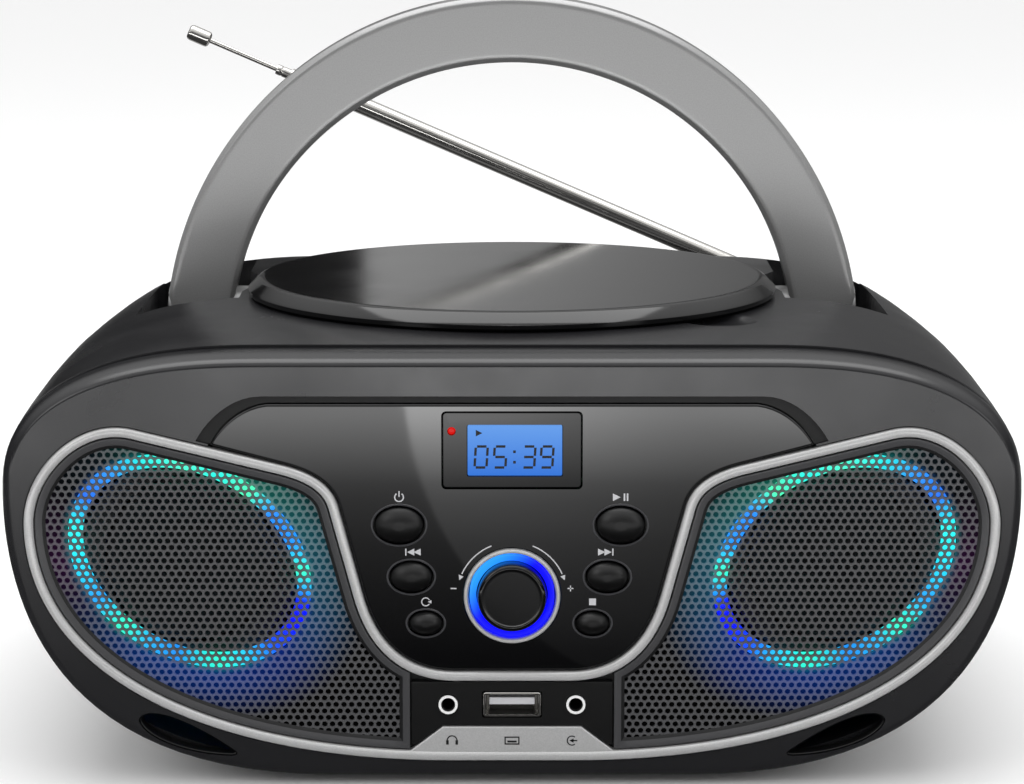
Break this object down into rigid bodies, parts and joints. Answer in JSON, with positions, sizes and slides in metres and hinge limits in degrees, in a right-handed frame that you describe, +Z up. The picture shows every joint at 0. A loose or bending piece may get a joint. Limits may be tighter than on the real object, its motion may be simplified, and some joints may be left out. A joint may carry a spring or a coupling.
{
  "type": "portable disc boombox",
  "caption": "Portable disc and radio boombox with lit speakers, arched carrying handle, top disc lid, front controls and a telescopic antenna.",
  "frame": {"origin": "on the surface the feet stand on, below the middle of the whole depth", "axes": "+X to the right seen from the front, front faces -Y, +Z up"},
  "size_m": [0.25, 0.217, 0.1853],
  "materials": {
    "gloss_black": "moulded gloss black ABS",
    "satin_black": "moulded satin black ABS",
    "grey_plastic": "moulded dark grey ABS",
    "silver_lacquer": "silver lacquer on ABS",
    "steel": "nickel plated steel",
    "window": "clear acrylic over black print",
    "blue_light": "backlit blue plastic",
    "teal_light": "backlit diffuser",
    "red_light": "red indicator lens",
    "circuit_board": "solder-masked glass laminate",
    "cone_paper": "pressed paper cone",
    "rubber": "moulded rubber"
  },
  "bodies": {
    "cabinet": {"front_cabinet": "gloss_black", "rear_cabinet": "gloss_black", "control_panel": "gloss_black", "port_panel": "gloss_black", "left_grille": "satin_black", "right_grille": "satin_black", "left_vent": "satin_black", "right_vent": "satin_black", "disc_well": "satin_black", "battery_box": "satin_black", "mains_inlet": "satin_black", "left_grille_frame": "grey_plastic", "right_grille_frame": "grey_plastic", "trim_frame": "silver_lacquer", "volume_bezel": "silver_lacquer", "left_speaker_basket": "steel", "right_speaker_basket": "steel", "headphone_jack": "steel", "line_in_jack": "steel", "usb_socket": "steel", "spindle_motor": "steel", "guide_rod": "steel", "lid_hinge_pin": "steel", "left_handle_pin": "steel", "right_handle_pin": "steel", "transformer": "steel", "left_rear_screw": "steel", "right_rear_screw": "steel", "display_window": "window", "lcd_module": "blue_light", "volume_light_ring": "blue_light", "left_light_ring": "teal_light", "right_light_ring": "teal_light", "power_indicator": "red_light", "control_board": "circuit_board", "main_board": "circuit_board", "left_speaker_cone": "cone_paper", "right_speaker_cone": "cone_paper", "left_front_foot": "rubber", "right_front_foot": "rubber", "left_rear_foot": "rubber", "right_rear_foot": "rubber"},
    "handle_arm": {"handle": "silver_lacquer"},
    "lid": {"disc_lid": "gloss_black"},
    "knob": {"volume_knob": "gloss_black"},
    "power_key": {"power_button": "gloss_black"},
    "previous_key": {"previous_button": "gloss_black"},
    "function_key": {"function_button": "gloss_black"},
    "play_key": {"play_button": "gloss_black"},
    "next_key": {"next_button": "gloss_black"},
    "stop_key": {"stop_button": "gloss_black"},
    "antenna_base": {"antenna_swivel": "satin_black", "antenna_pin": "steel"},
    "antenna_mast": {"antenna_tube": "steel"},
    "antenna_stage_2": {"antenna_section_2": "steel"},
    "antenna_stage_3": {"antenna_section_3": "steel"},
    "antenna_rod": {"antenna_tip": "steel"},
    "turntable": {"disc_turntable": "steel"},
    "sled": {"laser_sled": "satin_black"},
    "door": {"battery_door": "satin_black"}
  },
  "joints": [
    {"name": "handle_fold", "type": "hinge", "parent": "cabinet", "child": "handle_arm", "pos_m": [0, 0.0445, 0.0975], "axis": [-1, 0, 0], "range_deg": [-55, 35]},
    {"name": "lid_open", "type": "hinge", "parent": "cabinet", "child": "lid", "pos_m": [0, 0.064, 0.108], "axis": [-1, 0, 0], "range_deg": [0, 40]},
    {"name": "volume_turn", "type": "hinge", "parent": "cabinet", "child": "knob", "pos_m": [0, -0.1045, 0.0483], "axis": [0, -1, 0], "continuous": true},
    {"name": "power_press", "type": "slide", "parent": "cabinet", "child": "power_key", "axis": [0, 1, 0], "range_m": [0, 0.0008], "stiffness_N_per_m": 400},
    {"name": "previous_press", "type": "slide", "parent": "cabinet", "child": "previous_key", "axis": [0, 1, 0], "range_m": [0, 0.0008], "stiffness_N_per_m": 400},
    {"name": "function_press", "type": "slide", "parent": "cabinet", "child": "function_key", "axis": [0, 1, 0], "range_m": [0, 0.0008], "stiffness_N_per_m": 400},
    {"name": "play_press", "type": "slide", "parent": "cabinet", "child": "play_key", "axis": [0, 1, 0], "range_m": [0, 0.0008], "stiffness_N_per_m": 400},
    {"name": "next_press", "type": "slide", "parent": "cabinet", "child": "next_key", "axis": [0, 1, 0], "range_m": [0, 0.0008], "stiffness_N_per_m": 400},
    {"name": "stop_press", "type": "slide", "parent": "cabinet", "child": "stop_key", "axis": [0, 1, 0], "range_m": [0, 0.0008], "stiffness_N_per_m": 400},
    {"name": "antenna_swivel_turn", "type": "hinge", "parent": "cabinet", "child": "antenna_base", "pos_m": [0.086, 0.1055, 0.0925], "axis": [0, 1, 0], "range_deg": [-20, 135]},
    {"name": "antenna_tilt", "type": "hinge", "parent": "antenna_base", "child": "antenna_mast", "pos_m": [0.086, 0.1055, 0.0925], "axis": [-0.3955, 0, -0.9184], "range_deg": [0, 90]},
    {"name": "antenna_slide_2", "type": "slide", "parent": "antenna_mast", "child": "antenna_stage_2", "axis": [-0.9184, 0, 0.3955], "range_m": [0, 0.1]},
    {"name": "antenna_slide_3", "type": "slide", "parent": "antenna_stage_2", "child": "antenna_stage_3", "axis": [-0.9184, 0, 0.3955], "range_m": [0, 0.1]},
    {"name": "antenna_slide_4", "type": "slide", "parent": "antenna_stage_3", "child": "antenna_rod", "axis": [-0.9184, 0, 0.3955], "range_m": [-0.0205, 0.1]},
    {"name": "disc_spin", "type": "hinge", "parent": "cabinet", "child": "turntable", "pos_m": [0, -0.0085, 0.096], "axis": [0, 0, 1], "continuous": true},
    {"name": "sled_travel", "type": "slide", "parent": "cabinet", "child": "sled", "axis": [1, 0, 0], "range_m": [0, 0.022]},
    {"name": "battery_door_pull", "type": "slide", "parent": "cabinet", "child": "door", "axis": [0, 1, 0], "range_m": [0, 0.04]}
  ]
}
